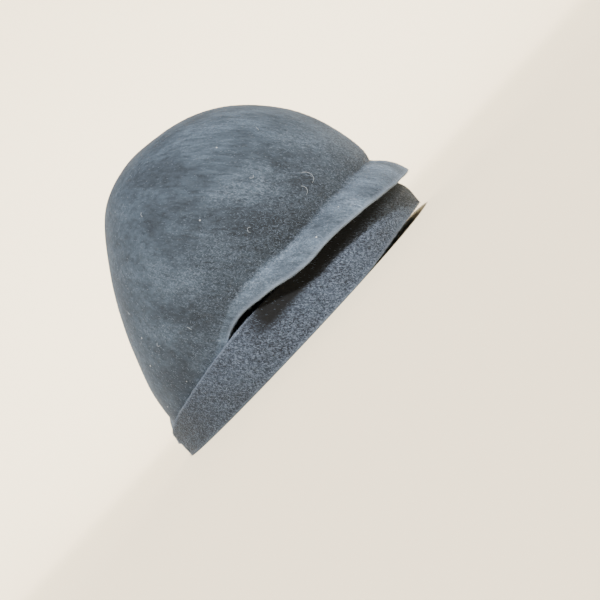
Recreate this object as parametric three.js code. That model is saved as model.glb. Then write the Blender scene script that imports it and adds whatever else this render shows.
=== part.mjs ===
// A felt cloche hat, standing on its brim: a blocked crown whose front edge flares into a lip,
// and a separate brim that runs under the lip and round the face, with its two ends open at the nape.
//
// Frame: millimetres, +Z up, the floor at z = 0. The hat's front faces -Y and the wearer's left is +X.
// Places round the hat are given as a turn in degrees: 0 at the front, 90 at the side, 180 at the nape.

import * as THREE from "three";

const FELT = 2.4; // thickness of the felt
const FLARE_BEND = 1.2; // how far the lip curves back down towards its edge, in radians
const COLUMNS = 72; // meshing round the crown
const CROWN_RINGS = 24; // meshing of the crown from its edge to its top
const RINGS_CLOSER = 1.6; // above 1, the crown's rings lie closer together towards its edge
const BRIM_RINGS = 7; // meshing of the brim from its bottom edge to its top edge
const BRIM_COLUMNS = 64; // meshing of the brim from one end to the other

// Oval sections of the felt's outer face, from the top down: the height of the section, how far
// it reaches to the front and to the back of the hat's middle, and its half width.
const BODY = [
  { height: 152, front: 0, back: 0, halfWidth: 0 },
  { height: 150, front: 17, back: 15, halfWidth: 15 },
  { height: 143.5, front: 40.5, back: 33, halfWidth: 34 },
  { height: 132.5, front: 60, back: 46, halfWidth: 48.5 },
  { height: 117, front: 77, back: 59, halfWidth: 62 },
  { height: 96.5, front: 90.5, back: 73.5, halfWidth: 74 },
  { height: 72.5, front: 98.5, back: 88, halfWidth: 81 },
  { height: 48, front: 101.5, back: 99.5, halfWidth: 85 },
  { height: 24, front: 99.5, back: 106, halfWidth: 87 },
  { height: 0, front: 95.5, back: 110, halfWidth: 86 },
];

// The crown's lower edge: its height, how far above it the felt starts to flare, and how far
// the edge then stands out from the body.
const CROWN_EDGE = [
  { turn: 0, edge: 22, rise: 21, flare: 12.5 },
  { turn: 20, edge: 23, rise: 20, flare: 12 },
  { turn: 35, edge: 26, rise: 17, flare: 10.5 },
  { turn: 50, edge: 29, rise: 14.5, flare: 8.5 },
  { turn: 62, edge: 30, rise: 14, flare: 7.5 },
  { turn: 76, edge: 34, rise: 11.5, flare: 4 },
  { turn: 90, edge: 34.5, rise: 7.5, flare: 0 },
  { turn: 110, edge: 17.5, rise: 9.5, flare: 0 },
  { turn: 150, edge: 8.5, rise: 15.5, flare: 1 },
  { turn: 165, edge: 10.5, rise: 19.5, flare: 7 },
  { turn: 180, edge: 12.5, rise: 19.5, flare: 9.5 },
];

// The brim: the heights of its top and bottom edges, how far each stands out from the body,
// and how far it bulges between them.
const BRIM = [
  { turn: 0, top: 30, bottom: 4, topOut: -3, bottomOut: 5.5, bulge: 4 },
  { turn: 25, top: 30, bottom: 3, topOut: -3, bottomOut: 5.5, bulge: 4 },
  { turn: 50, top: 30, bottom: 0, topOut: -3, bottomOut: 5, bulge: 2.5 },
  { turn: 76, top: 32, bottom: 0, topOut: -1, bottomOut: 4, bulge: 1 },
  { turn: 94, top: 31, bottom: 0, topOut: 3, bottomOut: 4, bulge: 1 },
  { turn: 130, top: 24, bottom: 0, topOut: 4, bottomOut: 5, bulge: 0 },
  { turn: 155, top: 17.5, bottom: 0, topOut: 4.8, bottomOut: 5.2, bulge: 0 },
];
const BRIM_END_TOP = 155; // turn of the brim's end at its top edge
const BRIM_END_BOTTOM = 146; // and at its bottom edge
const END_SPREAD = 8; // the higher, the closer to the brim's ends its columns start to slant
const BRIM_LEAN = 0.8; // under 1, the brim leans in soon above its bottom edge

const radians = THREE.MathUtils.degToRad;
const mix = THREE.MathUtils.lerp;

// A smooth curve through one column of a table, at a place counted in rows.
function columnAt(table, column, place) {
  const row = THREE.MathUtils.clamp(Math.floor(place), 0, table.length - 2);
  const value = (i) => table[THREE.MathUtils.clamp(i, 0, table.length - 1)][column];
  const t = place - row;
  const [a, b, c, d] = [value(row - 1), value(row), value(row + 1), value(row + 2)];
  const slopeIn = (c - a) / 2;
  const slopeOut = (d - b) / 2;
  const t2 = t * t;
  const t3 = t2 * t;
  return (2 * t3 - 3 * t2 + 1) * b + (t3 - 2 * t2 + t) * slopeIn + (3 * t2 - 2 * t3) * c + (t3 - t2) * slopeOut;
}

// The row of a table, with a fraction, at which its column `key` reaches a value.
function placeOf(table, key, value) {
  const rising = table.at(-1)[key] > table[0][key];
  let [low, high] = [0, table.length - 1];
  for (let i = 0; i < 40; i++) {
    const middle = (low + high) / 2;
    if (columnAt(table, key, middle) < value === rising) low = middle;
    else high = middle;
  }
  return (low + high) / 2;
}

// Every column of a table at a turn, which is the same on both sides of the hat.
function rowAt(table, turn) {
  const place = placeOf(table, "turn", Math.abs(turn));
  return Object.fromEntries(Object.keys(table[0]).map((column) => [column, columnAt(table, column, place)]));
}

// A point of the body's outer face, `out` millimetres proud of it.
function bodyPoint(turn, place, out) {
  const at = (column) => columnAt(BODY, column, place);
  const angle = radians(turn);
  const middle = (at("back") - at("front")) / 2;
  const halfLength = (at("back") + at("front")) / 2 + out;
  const halfWidth = at("halfWidth") + out;
  return new THREE.Vector3(halfWidth * Math.sin(angle), middle - halfLength * Math.cos(angle), at("height"));
}

// The crown's outer face: share 0 is its lower edge and share 1 is the top.
function crownPoint(turn, share) {
  const row = rowAt(CROWN_EDGE, turn);
  const edgePlace = placeOf(BODY, "height", row.edge);
  const place = edgePlace * (1 - share);
  const height = columnAt(BODY, "height", place);
  const down = THREE.MathUtils.clamp((row.edge + row.rise - height) / row.rise, 0, 1);
  const bent = Math.sin(FLARE_BEND * down) / Math.sin(FLARE_BEND); // a sharp bend, then straighter to the edge
  return bodyPoint(turn, place, Math.max(row.flare, 0) * bent);
}

// The brim's outer face: across runs from -1 on the right to 1 on the left, up from 0 to 1.
function brimPoint(across, up) {
  const end = mix(BRIM_END_BOTTOM, BRIM_END_TOP, up);
  const turn = across * mix(BRIM_END_BOTTOM, end, Math.abs(across) ** END_SPREAD);
  const row = rowAt(BRIM, turn);
  const height = mix(Math.max(row.bottom, 0), row.top, up);
  const out = mix(row.bottomOut, row.topOut, up ** BRIM_LEAN) + row.bulge * Math.sin(Math.PI * up);
  return bodyPoint(turn, placeOf(BODY, "height", height), out);
}

// A wall of felt: a grid of points on the outer face, and the same grid one thickness further in.
// `rows` is an array of rings or lines of points, and its faces are wound to point out.
function feltWall(rows, closedRound, pointedTop) {
  const columns = rows[0].length;
  const wrap = (j) => (closedRound ? (j + columns) % columns : THREE.MathUtils.clamp(j, 0, columns - 1));
  const line = (i) => rows[THREE.MathUtils.clamp(i, 0, rows.length - 1)];
  const normalAt = (i, j) => {
    const along = new THREE.Vector3().subVectors(line(i)[wrap(j + 1)], line(i)[wrap(j - 1)]);
    const up = new THREE.Vector3().subVectors(line(i + 1)[j], line(i - 1)[j]);
    return along.cross(up).normalize();
  };
  const points = [];
  const outer = rows.map((row) => row.map((p) => points.push(p) - 1));
  const inner = rows.map((row, i) =>
    row.map((p, j) => points.push(p.clone().addScaledVector(normalAt(i, j), -FELT)) - 1),
  );
  inner[0].forEach((k, j) => points[k].setZ(points[outer[0][j]].z)); // the bottom edge is cut level
  const last = rows.length - 1;
  if (pointedTop) {
    const top = points[outer[last][0]];
    const underTop = top.clone().setZ(top.z - FELT);
    inner[last].forEach((k) => points[k].copy(underTop));
  }
  const faces = [];
  const quad = (a, b, c, d) => faces.push(a, b, c, a, c, d);
  const spans = closedRound ? columns : columns - 1;
  for (let j = 0; j < spans; j++) {
    const k = wrap(j + 1);
    for (let i = 0; i < last; i++) {
      quad(outer[i][j], outer[i][k], outer[i + 1][k], outer[i + 1][j]);
      quad(inner[i][k], inner[i][j], inner[i + 1][j], inner[i + 1][k]);
    }
    quad(inner[0][j], inner[0][k], outer[0][k], outer[0][j]);
    if (!pointedTop) quad(outer[last][j], outer[last][k], inner[last][k], inner[last][j]);
  }
  if (!closedRound) {
    for (let i = 0; i < last; i++) {
      quad(inner[i][0], outer[i][0], outer[i + 1][0], inner[i + 1][0]);
      quad(outer[i][columns - 1], inner[i][columns - 1], inner[i + 1][columns - 1], outer[i + 1][columns - 1]);
    }
  }
  return closedMesh(points, faces);
}

// A geometry from points and triangles, without the triangles that a pole has squeezed to a line.
function closedMesh(points, faces) {
  const kept = [];
  for (let f = 0; f < faces.length; f += 3) {
    const [a, b, c] = [points[faces[f]], points[faces[f + 1]], points[faces[f + 2]]];
    const squeezed = Math.min(a.distanceTo(b), b.distanceTo(c), c.distanceTo(a)) < 1e-4;
    if (!squeezed) kept.push(faces[f], faces[f + 1], faces[f + 2]);
  }
  const geometry = new THREE.BufferGeometry().setFromPoints(points);
  geometry.setIndex(kept);
  geometry.computeVertexNormals();
  return geometry;
}

function makeCrown() {
  const rows = [];
  for (let i = 0; i <= CROWN_RINGS; i++) {
    const share = (i / CROWN_RINGS) ** RINGS_CLOSER;
    const ring = [];
    for (let j = 0; j < COLUMNS; j++) ring.push(crownPoint((360 * j) / COLUMNS - 180, share));
    rows.push(ring);
  }
  return feltWall(rows, true, true);
}

function makeBrim() {
  const rows = [];
  for (let i = 0; i <= BRIM_RINGS; i++) {
    const line = [];
    for (let j = 0; j <= BRIM_COLUMNS; j++) line.push(brimPoint((2 * j) / BRIM_COLUMNS - 1, i / BRIM_RINGS));
    rows.push(line);
  }
  return feltWall(rows, false, false);
}

const felt = () => new THREE.MeshStandardMaterial({ color: 0x3d4550, roughness: 0.95, metalness: 0 });

const hat = new THREE.Group();
hat.name = "cloche_hat";
for (const [name, geometry] of [
  ["crown", makeCrown()],
  ["brim", makeBrim()],
]) {
  const mesh = new THREE.Mesh(geometry, felt());
  mesh.name = name;
  hat.add(mesh);
}

// The origin is put under the middle of the hat.
const middle = new THREE.Box3().setFromObject(hat).getCenter(new THREE.Vector3());
for (const mesh of hat.children) mesh.geometry.translate(-middle.x, -middle.y, 0);

export default hat;
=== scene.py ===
# %% [markdown]
# # A felt cloche hat
# A cloche is a close, bell shaped hat. This one is two pieces of black wool felt: a crown that was steamed
# and pulled over a block, and a separate brim band sewn in under the crown's front edge. The CAD model gives
# the frame: its box, its body and its two nodes. Here both are made again as soft felt, at the same sizes.

# %% Load the frame
import math
import bmesh
import bpy
import numpy as np
from mathutils import Matrix, Vector, noise


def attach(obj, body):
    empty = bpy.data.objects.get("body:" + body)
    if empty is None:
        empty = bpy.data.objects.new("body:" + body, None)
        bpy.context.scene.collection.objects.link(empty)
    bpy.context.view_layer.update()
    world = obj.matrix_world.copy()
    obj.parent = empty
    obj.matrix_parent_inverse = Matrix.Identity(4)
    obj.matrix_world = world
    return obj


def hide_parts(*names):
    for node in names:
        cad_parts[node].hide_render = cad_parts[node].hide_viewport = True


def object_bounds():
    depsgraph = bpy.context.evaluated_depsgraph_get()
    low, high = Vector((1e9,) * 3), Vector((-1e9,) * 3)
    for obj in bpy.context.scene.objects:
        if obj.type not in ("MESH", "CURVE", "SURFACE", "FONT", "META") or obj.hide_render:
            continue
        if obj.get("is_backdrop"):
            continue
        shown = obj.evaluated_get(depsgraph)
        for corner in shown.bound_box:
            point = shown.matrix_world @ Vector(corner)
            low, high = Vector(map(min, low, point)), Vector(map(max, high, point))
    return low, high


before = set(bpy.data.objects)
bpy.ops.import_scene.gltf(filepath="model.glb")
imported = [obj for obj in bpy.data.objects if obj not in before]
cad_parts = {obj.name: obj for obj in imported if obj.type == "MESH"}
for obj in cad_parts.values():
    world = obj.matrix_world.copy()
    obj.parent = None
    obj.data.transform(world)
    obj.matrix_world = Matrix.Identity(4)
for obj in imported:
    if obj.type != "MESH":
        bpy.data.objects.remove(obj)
cad_low, cad_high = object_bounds()
MM = 0.001
print("CAD box in mm:", [round(v / MM, 1) for v in (cad_high - cad_low)])

# %% [markdown]
# ## The block
# A milliner pulls damp felt over a wooden block, so the block's shape is the hat's shape. A block is well
# described by a few level ovals, from the tip down. A table of those, read along a smooth curve, is shorter
# and easier to change than a long list of points. Two more tables say how the felt was cut and bent at the
# crown's lower edge, and how high and how far out the brim stands. A place round the hat is its turn in
# degrees: 0 at the front, 90 at the side, 180 at the nape, the same on both sides.

# %% Sizes of the block and of both pieces, in millimetres
FELT = 2.4
TO_THE_MIDDLE = -2.93
BODY = [
    # height, reach to the front, reach to the back, half width
    (152, 0, 0, 0),
    (150, 17, 15, 15),
    (143.5, 40.5, 33, 34),
    (132.5, 60, 46, 48.5),
    (117, 77, 59, 62),
    (96.5, 90.5, 73.5, 74),
    (72.5, 98.5, 88, 81),
    (48, 101.5, 99.5, 85),
    (24, 99.5, 106, 87),
    (0, 95.5, 110, 86),
]
CROWN_EDGE = [
    # turn, height of the edge, how far above it the flare starts, how far the edge flares out
    (0, 22, 21, 12.5),
    (20, 23, 20, 12),
    (35, 26, 17, 10.5),
    (50, 29, 14.5, 8.5),
    (62, 30, 14, 7.5),
    (76, 34, 11.5, 4),
    (90, 34.5, 7.5, 0),
    (110, 17.5, 9.5, 0),
    (150, 8.5, 15.5, 1),
    (165, 10.5, 19.5, 7),
    (180, 12.5, 19.5, 9.5),
]
BRIM = [
    # turn, top, bottom, how far the top stands out, how far the bottom stands out, bulge between
    (0, 30, 4, -3, 5.5, 4),
    (25, 30, 3, -3, 5.5, 4),
    (50, 30, 0, -3, 5, 2.5),
    (76, 32, 0, -1, 4, 1),
    (94, 31, 0, 3, 4, 1),
    (130, 24, 0, 4, 5, 0),
    (155, 17.5, 0, 4.8, 5.2, 0),
]
BRIM_END_TOP = 155
BRIM_END_BOTTOM = 146


# %% Reading a table along a smooth curve
def read(table, place):
    """Every column of a table at a place counted in rows, on a cubic curve through the rows."""
    row = min(max(int(math.floor(place)), 0), len(table) - 2)
    a, b, c, d = (table[min(max(i, 0), len(table) - 1)] for i in range(row - 1, row + 3))
    t = place - row
    weights = (2 * t**3 - 3 * t**2 + 1, t**3 - 2 * t**2 + t, 3 * t**2 - 2 * t**3, t**3 - t**2)
    columns = zip(a, b, c, d)
    return [
        weights[0] * q + weights[1] * (r - p) / 2 + weights[2] * r + weights[3] * (s - q) / 2
        for p, q, r, s in columns
    ]


def find(table, value):
    """The place at which a table's first column has a value."""
    rising = table[-1][0] > table[0][0]
    low, high = 0, len(table) - 1
    for _ in range(36):
        middle = (low + high) / 2
        if (read(table, middle)[0] < value) == rising:
            low = middle
        else:
            high = middle
    return (low + high) / 2


def on_body(turn, place, out):
    """A point of the block's skin, in metres, pushed out by so many millimetres."""
    height, front, back, half_width = read(BODY, place)
    angle = math.radians(turn)
    x = (half_width + out) * math.sin(angle)
    y = TO_THE_MIDDLE + (back - front) / 2 - ((back + front) / 2 + out) * math.cos(angle)
    return Vector((x, y, height)) * MM


print("the block is", BODY[0][0], "mm high and", 2 * max(row[3] for row in BODY), "mm wide")

# %% [markdown]
# ## Soft, not perfect
# Hand blocked felt is never a perfect oval. It has slow hollows where the steam relaxed it, and a cut edge
# wanders a little. Smooth noise of a known size gives both. Two sizes are added up: hollows about as wide as
# a palm, and shallow puckers the width of a thumb.

# %% Slow hollows and a wandering edge
HOLLOW_DEPTH, HOLLOW_WIDTH = 1.3, 55
PUCKER_DEPTH, PUCKER_WIDTH = 0.35, 17


def softness(point):
    """How far the felt is pushed out at a point, in metres."""
    slow = noise.noise(point / (HOLLOW_WIDTH * MM))
    quick = noise.noise(point / (PUCKER_WIDTH * MM) + Vector((7, 3, 1)))
    return (HOLLOW_DEPTH * slow + PUCKER_DEPTH * quick) * MM


def wander(turn, seed):
    """How far a cut edge leaves its line at a turn, in millimetres."""
    angle = math.radians(turn)
    round_the_hat = Vector((math.cos(angle), math.sin(angle), seed))
    return 0.5 * noise.noise(round_the_hat * 5) + 0.25 * noise.noise(round_the_hat * 16)


# %% [markdown]
# ## A sheet of felt
# Both pieces start as a flat grid, as felt starts as a flat hood or strip. Each grid point is then carried to
# its place on the block, which is what pulling and pinning does. A grid keeps the faces in tidy rows round
# the hat, so the wall, the rounded edges and the fine subdivision that follow stay even. The sheet also keeps
# three numbers at each point: how near a cut edge it is, how rough its nap was left, and how much painted
# shade or painted highlight goes into its colour.


# %% From a flat sheet to a soft wall
def sheet_of_felt(name, across, up, carry):
    """A felt wall whose grid points, 0 to 1 across and up, are carried to their places on the block."""
    sheet = bmesh.new()
    bmesh.ops.create_grid(sheet, x_segments=across, y_segments=up, size=0.5)
    edge_layer = sheet.verts.layers.float.new("near_edge")
    rough_layer = sheet.verts.layers.float.new("rough_nap")
    painted_shading_layer = sheet.verts.layers.float.new("painted_shading")
    for vert in sheet.verts:
        point, near_edge, rough, painted_shading = carry(vert.co.x + 0.5, vert.co.y + 0.5)
        vert.co = point
        vert[edge_layer] = near_edge
        vert[rough_layer] = rough
        vert[painted_shading_layer] = painted_shading
    bmesh.ops.remove_doubles(sheet, verts=sheet.verts, dist=0.01 * MM)
    bmesh.ops.recalc_face_normals(sheet, faces=sheet.faces)
    front = min(sheet.faces, key=lambda face: face.calc_center_median().y)
    if front.normal.y > 0:
        bmesh.ops.reverse_faces(sheet, faces=sheet.faces)
    for face in sheet.faces:
        face.smooth = True
    sheet.normal_update()
    hollows = [(vert, vert.normal * softness(vert.co)) for vert in sheet.verts]
    for vert, push in hollows:
        floor_share = min(max(vert.co.z, 0) / (12 * MM), 1)
        vert.co += push * floor_share
    mesh = bpy.data.meshes.new(name)
    sheet.to_mesh(mesh)
    sheet.free()
    piece = bpy.data.objects.new(name, mesh)
    bpy.context.collection.objects.link(piece)
    print(name, "sheet:", len(mesh.vertices), "points,", len(mesh.polygons), "faces")
    return piece


def thicken(piece, levels):
    """Gives a sheet its wall inwards, rounds the cut edges, and subdivides it."""
    wall = piece.modifiers.new("felt wall", "SOLIDIFY")
    wall.thickness, wall.offset, wall.use_even_offset = FELT * MM, -1, True
    edges = piece.modifiers.new("soft cut edges", "BEVEL")
    edges.width, edges.segments, edges.limit_method = 0.75 * MM, 2, "ANGLE"
    edges.angle_limit = math.radians(50)
    smooth = piece.modifiers.new("fine felt", "SUBSURF")
    smooth.levels = smooth.render_levels = levels
    return piece


# %% [markdown]
# ## The crown
# One blocked hood of felt. Its edge is low at the nape, rises at the sides, and flares into a small lip over
# the front. The flare starts at a fairly sharp bend, because the wet felt was bent over the block's rim. The
# rings of the grid lie closest together at the lip, where the shape turns most.

# %% The crown
CROWN_ACROSS, CROWN_UP = 168, 44
LIP_DROOP, LIP_DROOP_TURN, LIP_DROOP_SPREAD = 1.6, 60, 10
BEND_DEPTH, BEND_WIDTH = 1.8, 4.0
# Painted shade above the lip's bend: how dark, how far above the bend it is centred, and how wide, in
# millimetres.
BEND_SHADE, SHADE_ABOVE, SHADE_WIDTH = 0.28, 8, 20
FLARE_BEND = 1.2
crown_rows = {}


def crown_row(turn):
    """The crown's edge at a turn: height, rise, flare, and the place of the edge on the block."""
    key = round(turn, 3)
    if key not in crown_rows:
        _, edge, rise, flare = read(CROWN_EDGE, find(CROWN_EDGE, abs(turn)))
        droop = LIP_DROOP * math.exp(-(((abs(turn) - LIP_DROOP_TURN) / LIP_DROOP_SPREAD) ** 2))
        edge += wander(turn, 0) - droop
        crown_rows[key] = (edge, rise, max(flare, 0), find(BODY, edge))
    return crown_rows[key]


def crown_point(turn, share):
    edge, rise, flare, edge_place = crown_row(turn)
    place = edge_place * (1 - share)
    height = read(BODY, place)[0]
    down = min(max((edge + rise - height) / rise, 0), 1)
    crease = BEND_DEPTH * min(flare / 8, 1) * math.exp(-(((height - edge - rise) / BEND_WIDTH) ** 2))
    bent = math.sin(FLARE_BEND * down) / math.sin(FLARE_BEND)
    return on_body(turn, place, flare * bent - crease), height - edge, down


def carry_crown(across, up):
    turn = 360 * across - 180
    point, above_edge, down = crown_point(turn, up**1.6)
    near_edge = max(0, 1 - above_edge / 2.5)
    frontness = min(max((135 - abs(turn)) / 50, 0), 1)
    rough = frontness * min(max((75 - above_edge) / 50, 0), 1)
    if frontness > 0:
        rough *= 1 - 0.55 * min(down * 4, 1)
    # Painted shade: a darker band on the crown's front just above the lip's bend, where the crease lies in
    # shade.
    above_bend = (above_edge - crown_row(turn)[1] - SHADE_ABOVE) / SHADE_WIDTH
    painted_shading = 0.5 - BEND_SHADE * frontness * math.exp(-(above_bend**2))
    # Painted highlight: the lip's flange, which faces up toward the light, is painted lighter.
    painted_shading += (1 - painted_shading) * frontness * min(down * 7, 1)
    return point, near_edge, rough, painted_shading


crown = thicken(sheet_of_felt("felt_crown", CROWN_ACROSS, CROWN_UP, carry_crown), 1)
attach(crown, "root")
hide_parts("crown")

# %% [markdown]
# ## The brim
# A strip of the same felt, cut on the curve so that it rolls under at the bottom. In front its top edge is
# sewn up inside the crown's bend, so it starts behind the lip. From the sides back it lies outside the crown's
# edge, and its two ends are cut off at a slant beside the nape.

# %% The brim
BRIM_ACROSS, BRIM_UP = 210, 16
# The strip under the lip that gets a painted shadow: up to this turn, and above this height in millimetres.
LIP_SHADOW_TURN, LIP_SHADOW_HEIGHT = 88, 17


def carry_brim(across, up):
    side = 2 * across - 1
    end = BRIM_END_BOTTOM + (BRIM_END_TOP - BRIM_END_BOTTOM) * up
    turn = side * (BRIM_END_BOTTOM + (end - BRIM_END_BOTTOM) * side**8)
    _, top, bottom, top_out, bottom_out, bulge = read(BRIM, find(BRIM, abs(turn)))
    top += wander(turn, 4) * 0.8
    height = max(bottom, 0) * (1 - up) + top * up
    out = bottom_out + (top_out - bottom_out) * up**0.8 + bulge * math.sin(math.pi * up)
    point = on_body(turn, find(BODY, height), out)
    from_edge = min(up * top, (1 - up) * top, (1 - abs(side)) * 240)
    # Painted shadow under the lip: the brim's front top is painted near black. Its light fibre flecks, painted
    # edge highlight and loose fibres are thinned there, so the shadow stays dark.
    lip_shadow = min(max((LIP_SHADOW_TURN - abs(turn)) / 8, 0), 1) * min(max((height - LIP_SHADOW_HEIGHT) / 4.5, 0), 1)
    # Painted shade: the brim darkens toward its ends at the nape, which turn away from the light.
    nape_shade = min(max((abs(turn) - 92) / 45, 0), 1)
    painted_shading = (0.5 - 0.32 * nape_shade) * (1 - lip_shadow)
    near_edge = max(0, 1 - from_edge / 2.0) * (1 - lip_shadow)
    return point, near_edge, 1.0 - lip_shadow, painted_shading


brim = thicken(sheet_of_felt("felt_brim", BRIM_ACROSS, BRIM_UP, carry_brim), 1)
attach(brim, "root")
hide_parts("brim")

# %% [markdown]
# ## Felt as a material
# Wool felt has no weave: it is wool fibre, matted by steam and rubbing, dyed black and brushed. The dyed wool
# scatters light inside its fuzz, so black felt reads as slate blue where light falls on it and as real black in
# a fold. The base is a rough dielectric with a sheen. Its grain is drawn at three sizes: fibre ends, brushed
# strokes some millimetres long that run from the tip down to the lip, and cloudy patches of finger width.


# %% Two helpers for every material
def colour(hex_code):
    """A linear colour from an sRGB hex code."""
    values = [int(hex_code[i : i + 2], 16) / 255 for i in (1, 3, 5)]
    return tuple(v / 12.92 if v <= 0.04045 else ((v + 0.055) / 1.055) ** 2.4 for v in values) + (1,)


def add(tree, kind, settings=None, links=None):
    """Adds one node: settings go to its properties or sockets, links come from other nodes' sockets."""
    node = tree.nodes.new("ShaderNode" + kind)
    for key, value in (settings or {}).items():
        if isinstance(key, str) and hasattr(node, key):
            setattr(node, key, value)
        else:
            node.inputs[key].default_value = value
    for key, source in (links or {}).items():
        tree.links.new(source, node.inputs[key])
    return node


def new_material(name):
    material = bpy.data.materials.new(name)
    material.use_nodes = True
    material.node_tree.nodes.clear()
    return material, material.node_tree


def ramp(tree, factor, stops):
    """A colour ramp through (position, colour) stops."""
    node = add(tree, "ValToRGB", links={"Fac": factor})
    elements = node.color_ramp.elements
    while len(elements) < len(stops):
        elements.new(0.5)
    for element, (position, value) in zip(elements, stops):
        element.position = position
        element.color = value if isinstance(value, tuple) else (value, value, value, 1)
    return node.outputs["Color"]


# %% [markdown]
# ## Black wool felt
# One function makes both felts, because they differ only in numbers: the crown was ironed and brushed smooth,
# and the brim was left with a coarse pepper and salt grain. The roughness is high all over. The sheen is the
# light that stands in the loose fibre ends.

# %% The felt
BRUSHED_ALONG = math.radians(48)
FIBRE_MM, FIBRE_LENGTH = 0.85, 1.8
STROKE_MM, STROKE_LENGTH, PATCH_MM, PATCH_LENGTH = 2.2, 5.5, 20, 2.2


def wool_felt(name, dark, middle, light, smooth_grain, rough_grain):
    """Matted wool. The grains say how far the fibre ends stand out of the middle tone, smooth and rough."""
    material, tree = new_material(name)
    place = add(tree, "TexCoord").outputs["Object"]
    along = add(
        tree,
        "Mapping",
        {"vector_type": "TEXTURE", "Rotation": (BRUSHED_ALONG, 0, 0), "Scale": (1, STROKE_LENGTH, 1)},
        {"Vector": place},
    ).outputs["Vector"]
    strokes = add(
        tree,
        "TexNoise",
        {"Scale": 1 / (STROKE_MM * MM), "Detail": 3.0, "Roughness": 0.6, "Distortion": 0.4},
        {"Vector": along},
    ).outputs["Fac"]
    short_strands = add(
        tree,
        "Mapping",
        {"vector_type": "TEXTURE", "Rotation": (BRUSHED_ALONG, 0, 0), "Scale": (1, FIBRE_LENGTH, 1)},
        {"Vector": place},
    ).outputs["Vector"]
    fibres = add(
        tree,
        "TexNoise",
        {"Scale": 1 / (FIBRE_MM * MM), "Detail": 3.0, "Roughness": 0.75, "Distortion": 0.6},
        {"Vector": short_strands},
    ).outputs["Fac"]
    patch_place = add(
        tree,
        "Mapping",
        {"vector_type": "TEXTURE", "Rotation": (BRUSHED_ALONG, 0, 0), "Scale": (1, PATCH_LENGTH, 1)},
        {"Vector": place},
    ).outputs["Vector"]
    patches = add(
        tree,
        "TexNoise",
        {"Scale": 1 / (PATCH_MM * MM), "Detail": 3.0, "Roughness": 0.55},
        {"Vector": patch_place},
    ).outputs["Fac"]
    specks = add(
        tree, "TexVoronoi", {"Scale": 1 / (17 * MM), "Randomness": 1.0}, {"Vector": place}
    ).outputs["Distance"]

    rough = add(tree, "Attribute", {"attribute_name": "rough_nap"}).outputs["Fac"]
    cloudy = add(tree, "MapRange", {3: 0.0, 4: 1.0, 1: 0.35, 2: 0.65}, {0: patches}).outputs[0]
    uneven = add(tree, "Math", {"operation": "MULTIPLY_ADD", 1: 0.9}, {0: cloudy, 2: rough}).outputs[0]
    rough_mask = add(
        tree, "MapRange", {1: 0.55, 2: 1.35, 3: smooth_grain, 4: rough_grain}, {0: uneven}
    ).outputs[0]

    cloud_tone = ramp(tree, cloudy, [(0.0, colour(dark)), (1.0, colour(middle))])
    # Painted light and shade: at 0.5 the felt keeps its own tone, lower values are painted shade down to near
    # black, higher values a painted highlight.
    painted_shading = add(tree, "Attribute", {"attribute_name": "painted_shading"}).outputs["Fac"]
    painted_shading_tone = ramp(tree, painted_shading, [(0.0, 0.03), (0.5, 1.0), (1.0, 1.65)])
    stroke_tone = ramp(tree, strokes, [(0.3, 0.55), (0.7, 1.35)])
    stroked = add(
        tree, "MixRGB", {"blend_type": "MULTIPLY", "Fac": 1.0}, {1: cloud_tone, 2: stroke_tone}
    ).outputs[0]
    fibre_tone = ramp(tree, fibres, [(0.47, 0.0), (0.66, 1.0)])
    fibre_share = add(tree, "Math", {"operation": "MULTIPLY"}, {0: fibre_tone, 1: rough_mask}).outputs[0]
    light_fibres = add(
        tree, "MixRGB", {2: colour(light)}, {"Fac": fibre_share, 1: stroked}
    ).outputs[0]
    pits = ramp(tree, fibres, [(0.34, 0.55), (0.45, 0.0)])
    pit_share = add(tree, "Math", {"operation": "MULTIPLY"}, {0: pits, 1: rough_mask}).outputs[0]
    pitted = add(
        tree, "MixRGB", {2: colour("#0d0f13")}, {"Fac": pit_share, 1: light_fibres}
    ).outputs[0]
    # Painted highlight: along the cut edges the colour is mixed part way toward the light fibre colour, a lit
    # line on each edge.
    cut = add(tree, "Attribute", {"attribute_name": "near_edge"}).outputs["Fac"]
    edge_highlight_share = add(tree, "Math", {"operation": "MULTIPLY", 1: 0.35}, {0: cut}).outputs[0]
    shaded = add(
        tree, "MixRGB", {"blend_type": "MULTIPLY", "Fac": 1.0}, {1: pitted, 2: painted_shading_tone}
    ).outputs[0]
    edge_highlighted = add(tree, "MixRGB", {2: colour(light)}, {"Fac": edge_highlight_share, 1: shaded}).outputs[0]
    speck_share = ramp(tree, specks, [(0.016, 0.8), (0.034, 0.0)])
    lint = add(tree, "MixRGB", {2: colour("#c9d0d8")}, {"Fac": speck_share, 1: edge_highlighted}).outputs[0]

    grain = add(tree, "Math", {"operation": "MULTIPLY"}, {0: fibres, 1: rough_mask}).outputs[0]
    height = add(
        tree, "Math", {"operation": "MULTIPLY_ADD", 1: 0.35}, {0: strokes, 2: grain}
    ).outputs[0]
    bump = add(
        tree, "Bump", {"Strength": 1.0, "Distance": 0.8 * MM}, {"Height": height}
    ).outputs["Normal"]
    felt = add(
        tree,
        "BsdfPrincipled",
        {
            "Roughness": 0.92,
            "IOR": 1.5,
            "Specular IOR Level": 0.25,
            "Sheen Weight": 0.15,
            "Sheen Roughness": 0.55,
            "Sheen Tint": colour("#a2b6d2"),
        },
        {"Base Color": lint, "Normal": bump},
    )
    add(tree, "OutputMaterial", links={"Surface": felt.outputs["BSDF"]})
    return material


crown_felt = wool_felt("brushed wool felt", "#262e38", "#394553", "#8291a8", 0.06, 0.36)
brim_felt = wool_felt("coarse wool felt", "#1d222c", "#2a3341", "#6f7d95", 0.46, 0.60)
crown.data.materials.append(crown_felt)
brim.data.materials.append(brim_felt)
print("materials:", crown_felt.name, "and", brim_felt.name)

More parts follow.
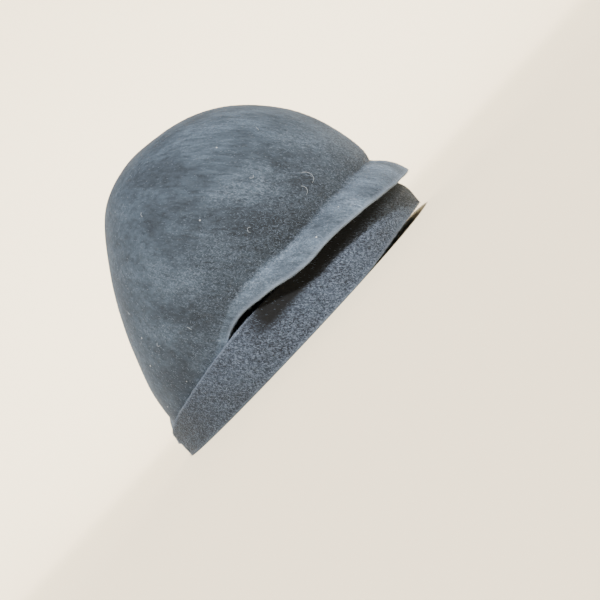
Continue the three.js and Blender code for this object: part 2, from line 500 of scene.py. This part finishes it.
# %% [markdown]
# ## Loose fibre
# The nap is real fibre: it blurs the outline and catches light along the cut edges. A particle system could
# grow it, but plain geometry exports with the hat. One fibre is a thin three sided cone, made once by an
# operator; its points are then repeated over the felt by arithmetic on arrays, which is fast.

# %% Fibres over the felt
FIBRE_SEED = 11
fibre_material, fibre_tree = new_material("loose wool fibre")
fibre_bsdf = add(
    fibre_tree,
    "BsdfPrincipled",
    {"Base Color": colour("#66758a"), "Roughness": 0.8, "Sheen Weight": 0.3, "Specular IOR Level": 0.2},
)
add(fibre_tree, "OutputMaterial", links={"Surface": fibre_bsdf.outputs["BSDF"]})


def one_fibre():
    """The points and faces of a cone of height 1 and radius 1 that stands on its base at the origin."""
    cone = bmesh.new()
    bmesh.ops.create_cone(
        cone, cap_ends=True, segments=3, radius1=1, radius2=0.05, depth=1,
        matrix=Matrix.Translation((0, 0, 0.5)),
    )
    bmesh.ops.triangulate(cone, faces=cone.faces)
    cone.verts.ensure_lookup_table()
    points = np.array([v.co for v in cone.verts])
    faces = np.array([[v.index for v in f.verts] for f in cone.faces])
    cone.free()
    return points, faces


def grown_surface(piece):
    """Triangles of a finished piece, with the two attributes at each, as arrays."""
    graph = bpy.context.evaluated_depsgraph_get()
    done = piece.evaluated_get(graph)
    mesh = done.to_mesh()
    mesh.calc_loop_triangles()
    points = np.empty(len(mesh.vertices) * 3)
    mesh.vertices.foreach_get("co", points)
    corners = np.empty(len(mesh.loop_triangles) * 3, int)
    mesh.loop_triangles.foreach_get("vertices", corners)
    notes = []
    for name in ("near_edge", "rough_nap"):
        values = np.empty(len(mesh.vertices))
        mesh.attributes[name].data.foreach_get("value", values)
        notes.append(values[corners.reshape(-1, 3)].mean(1))
    triangles = points.reshape(-1, 3)[corners].reshape(-1, 3, 3)
    done.to_mesh_clear()
    return triangles, notes[0], notes[1]


def grow_nap(name, piece, count, lengths, lean, material):
    """A mesh of loose fibres on a piece: denser at cut edges and where the nap is rough."""
    draw = np.random.default_rng(FIBRE_SEED)
    triangles, near_edge, rough = grown_surface(piece)
    sides = np.cross(triangles[:, 1] - triangles[:, 0], triangles[:, 2] - triangles[:, 0])
    areas = np.linalg.norm(sides, axis=1)
    normals = sides / areas[:, None]
    outward = (normals[:, :2] * triangles.mean(1)[:, :2]).sum(1) > 0
    outward |= normals[:, 2] > 0.3
    weight = areas * (0.15 + 1.1 * rough + 2.0 * near_edge) * np.where(outward, 1.0, 0.12)
    chosen = draw.choice(len(areas), count, p=weight / weight.sum())
    a, b = draw.random((2, count))
    a, b = np.where(a + b > 1, 1 - a, a), np.where(a + b > 1, 1 - b, b)
    t = triangles[chosen]
    roots = t[:, 0] + (t[:, 1] - t[:, 0]) * a[:, None] + (t[:, 2] - t[:, 0]) * b[:, None]
    normal = normals[chosen]
    stroke = np.array([0, -math.cos(BRUSHED_ALONG), -math.sin(BRUSHED_ALONG)])
    tangle = np.clip(rough[chosen] + near_edge[chosen], 0.25, 1.3)[:, None]
    flat = stroke + draw.normal(0, 0.9, (count, 3)) * tangle
    flat -= normal * (flat * normal).sum(1)[:, None]
    flat /= np.linalg.norm(flat, axis=1)[:, None]
    rise = lean * draw.uniform(0.3, 1.5, count)[:, None]
    axis = flat + normal * rise
    axis /= np.linalg.norm(axis, axis=1)[:, None]
    across = np.cross(axis, normal)
    across /= np.linalg.norm(across, axis=1)[:, None]
    third = np.cross(axis, across)
    points, faces = one_fibre()
    length = draw.uniform(*lengths, count)[:, None, None] * MM
    radius = 0.055 * MM
    local = points[None]
    placed = (
        roots[:, None]
        + across[:, None] * local[..., :1] * radius
        + third[:, None] * local[..., 1:2] * radius
        + axis[:, None] * local[..., 2:] * length
    )
    placed[..., 2] = np.maximum(placed[..., 2], 0.02 * MM)
    every_face = (faces[None] + (np.arange(count) * len(points))[:, None, None]).reshape(-1, 3)
    mesh = bpy.data.meshes.new(name)
    mesh.from_pydata(placed.reshape(-1, 3).tolist(), [], every_face.tolist())
    mesh.materials.append(material)
    nap = bpy.data.objects.new(name, mesh)
    bpy.context.collection.objects.link(nap)
    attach(nap, "root")
    print(name, count, "fibres,", len(mesh.polygons), "faces")
    return nap


crown_nap = grow_nap("crown_nap", crown, 16000, (0.8, 2.2), 0.25, fibre_material)
brim_nap = grow_nap("brim_nap", brim, 13000, (0.7, 1.9), 0.35, fibre_material)

# %% [markdown]
# ## Lint
# Black felt picks up pale lint: a few curled threads and hairs lie on the crown, several of them by the
# lip. Each is a short curve that follows the felt, given a hair's thickness and turned into a mesh, so that
# it exports like every other piece. The fine white specks are too small for that and stay in the material.

# %% Curled threads and hairs
LINT_SEED, LINT_THICKNESS = 5, 0.14
LINT = [
    # turn, height, curl radius, how far round it curls in degrees, lift, all lengths in millimetres
    (-39, 60, 3.4, 150, 0.5),
    (-44, 57, 2.6, 120, 0.4),
    (-52, 84, 1.2, 150, 0.4),
    (-30, 101, 1.4, 110, 0.4),
    (-66, 64, 1.0, 230, 0.3),
    (-95, 116, 1.6, 70, 0.3),
    (-120, 60, 1.1, 120, 0.4),
    (-104, 50, 2.2, 60, 0.4),
    (-132, 84, 1.4, 90, 0.3),
    (40, 88, 2.4, 150, 0.4),
    (85, 70, 1.6, 120, 0.3),
    (150, 90, 1.9, 130, 0.4),
]
lint_draw = np.random.default_rng(LINT_SEED)
lint_curve = bpy.data.curves.new("lint threads", "CURVE")
lint_curve.dimensions = "3D"
lint_curve.bevel_depth, lint_curve.bevel_resolution = LINT_THICKNESS / 2 * MM, 1
lint_curve.use_fill_caps = True
for turn, height, radius, curl, lift in LINT:
    place = find(BODY, height)
    start = lint_draw.uniform(0, 2 * math.pi)
    spline = lint_curve.splines.new("POLY")
    spline.points.add(15)
    for step, knot in enumerate(spline.points):
        share = step / 15
        angle = start + math.radians(curl) * share
        grown = radius * (1 + 0.5 * share)
        sideways, upward = grown * math.cos(angle), grown * math.sin(angle)
        turn_here = turn + math.degrees(sideways / 90)
        place_here = find(BODY, height + upward)
        out = lift + 0.6 * math.sin(math.pi * share) + softness(on_body(turn, place, 0)) / MM
        knot.co = (*on_body(turn_here, place_here, out + 0.4), 1)
lint_shape = bpy.data.objects.new("lint shape", lint_curve)
bpy.context.collection.objects.link(lint_shape)
bpy.context.view_layer.update()
lint_graph = bpy.context.evaluated_depsgraph_get()
lint_mesh = bpy.data.meshes.new_from_object(lint_shape.evaluated_get(lint_graph))
bpy.data.objects.remove(lint_shape)
lint = bpy.data.objects.new("lint_threads", lint_mesh)
bpy.context.collection.objects.link(lint)
lint_material, lint_tree = new_material("pale cotton lint")
lint_bsdf = add(lint_tree, "BsdfPrincipled", {"Base Color": colour("#9aa5b3"), "Roughness": 0.85})
add(lint_tree, "OutputMaterial", links={"Surface": lint_bsdf.outputs["BSDF"]})
lint_mesh.materials.clear()
lint_mesh.materials.append(lint_material)
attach(lint, "root")
print("lint threads:", len(LINT), "with", len(lint_mesh.polygons), "faces")

# %% [markdown]
# ## The studio
# A pale floor that sweeps up into a pale backdrop, a large soft window of light from above and behind the
# camera's left, and a weak fill. Felt needs one clear direction of light: the lip then throws a shadow on the
# brim, and the fold under it goes black.

# %% Floor and backdrop
SWEEP_NEAR, SWEEP_FAR, SWEEP_HEIGHT, SWEEP_WIDTH = -2.2, 2.4, 2.6, 6.0
VIEW_AZIMUTH, VIEW_ELEVATION = math.radians(290), math.radians(-4)
backward = Vector((math.sin(VIEW_AZIMUTH), -math.cos(VIEW_AZIMUTH), 0))
sweep = bmesh.new()
bmesh.ops.create_grid(sweep, x_segments=1, y_segments=1, size=1)
for vert in sweep.verts:
    vert.co = Vector((vert.co.x * SWEEP_WIDTH / 2, SWEEP_NEAR if vert.co.y < 0 else SWEEP_FAR, 0))
far_edge = [e for e in sweep.edges if all(v.co.y > 0 for v in e.verts)]
raised = bmesh.ops.extrude_edge_only(sweep, edges=far_edge)
lifted = [v for v in raised["geom"] if isinstance(v, bmesh.types.BMVert)]
bmesh.ops.translate(sweep, verts=lifted, vec=(0, 0, SWEEP_HEIGHT))
corner = [e for e in sweep.edges if all(abs(v.co.y - SWEEP_FAR) < 0.01 and v.co.z < 0.01 for v in e.verts)]
bmesh.ops.bevel(sweep, geom=corner, offset=1.2, segments=16, profile=0.5, affect="EDGES", material=-1)
away = math.atan2(-backward.y, -backward.x) - math.pi / 2
bmesh.ops.rotate(sweep, verts=sweep.verts, matrix=Matrix.Rotation(away, 3, "Z"))
for face in sweep.faces:
    face.smooth = True
sweep_mesh = bpy.data.meshes.new("studio_sweep")
sweep.to_mesh(sweep_mesh)
sweep.free()
studio_sweep = bpy.data.objects.new("studio_sweep", sweep_mesh)
bpy.context.collection.objects.link(studio_sweep)
studio_sweep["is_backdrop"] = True
paper, paper_tree = new_material("pale studio paper")
paper_bsdf = add(paper_tree, "BsdfPrincipled", {"Base Color": colour("#fceed2"), "Roughness": 0.9})
add(paper_tree, "OutputMaterial", links={"Surface": paper_bsdf.outputs["BSDF"]})
sweep_mesh.materials.append(paper)

# %% Lights
hat_middle = (cad_low + cad_high) / 2
KEY_DIRECTION, KEY_STRENGTH, KEY_SPREAD = (-0.55, -0.38, 0.88), 10.0, 7
WASH_WATTS = 50


def soft_light(name, direction, distance, size, watts, tint="#ffffff"):
    """A square area light that looks at the hat from a direction."""
    lamp = bpy.data.lights.new(name, "AREA")
    lamp.energy, lamp.size, lamp.color = watts, size, colour(tint)[:3]
    light = bpy.data.objects.new(name, lamp)
    bpy.context.collection.objects.link(light)
    toward = Vector(direction).normalized()
    light.location = hat_middle + toward * distance
    light.rotation_mode = "QUATERNION"
    light.rotation_quaternion = toward.to_track_quat("Z", "Y")
    print(name, watts, "W")
    return light


key = bpy.data.lights.new("key window", "SUN")
key.energy, key.angle, key.color = KEY_STRENGTH, math.radians(KEY_SPREAD), colour("#fffaf2")[:3]
key_light = bpy.data.objects.new("key window", key)
bpy.context.collection.objects.link(key_light)
key_light.rotation_mode = "QUATERNION"
key_light.rotation_quaternion = Vector(KEY_DIRECTION).to_track_quat("Z", "Y")
soft_light("front fill", (-0.9, -1.0, 0.35), 2.2, 1.2, 2)
wash = soft_light("backdrop wash", (0, 0, 1), 1.9, 2.0, WASH_WATTS)
wash.location -= backward * 0.9
wash.rotation_quaternion = (backward + Vector((0, 0, 0.25))).to_track_quat("Z", "Y")
world = bpy.data.worlds.new("studio air")
bpy.context.scene.world = world
world.use_nodes = True
world.node_tree.nodes["Background"].inputs["Color"].default_value = colour("#f4f2ee")
world.node_tree.nodes["Background"].inputs["Strength"].default_value = 0.10

# %% Camera
CAMERA_DISTANCE, FRAME_WIDTH, SENSOR = 0.676, 0.376, 36.0
CAMERA_ROLL = math.radians(-47)
AIM_RIGHT, AIM_DOWN = 0.0493, 0.0335
camera_data = bpy.data.cameras.new("camera")
camera_data.sensor_width = SENSOR
camera_data.clip_start = 0.003
camera_data.lens = SENSOR * CAMERA_DISTANCE / FRAME_WIDTH
camera = bpy.data.objects.new("camera", camera_data)
bpy.context.collection.objects.link(camera)
toward_camera = Vector((
    backward.x * math.cos(VIEW_ELEVATION), backward.y * math.cos(VIEW_ELEVATION), math.sin(VIEW_ELEVATION)
))
looked_at = Vector((hat_middle.x, hat_middle.y, 0.075))
camera.rotation_mode = "QUATERNION"
camera.location = looked_at + toward_camera * CAMERA_DISTANCE
turned = toward_camera.to_track_quat("Z", "Y") @ Matrix.Rotation(CAMERA_ROLL, 3, "Z").to_quaternion()
aim = looked_at + turned @ Vector((AIM_RIGHT, -AIM_DOWN, 0))
out_of_lens = (camera.location - aim).normalized()
image_right = (turned @ Vector((0, 1, 0))).cross(out_of_lens).normalized()
axes = Matrix((image_right, out_of_lens.cross(image_right), out_of_lens)).transposed()
camera.rotation_quaternion = axes.to_quaternion()
bpy.context.scene.camera = camera
print("lens", round(camera_data.lens, 1), "mm")

# %% Sizes, and the frame's last check
seen_low, seen_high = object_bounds()
for axis in range(3):
    under, over = (cad_low[axis] - seen_low[axis]) / MM, (seen_high[axis] - cad_high[axis]) / MM
    print("axis", "XYZ"[axis], "stands out", round(under, 2), "and", round(over, 2), "mm")
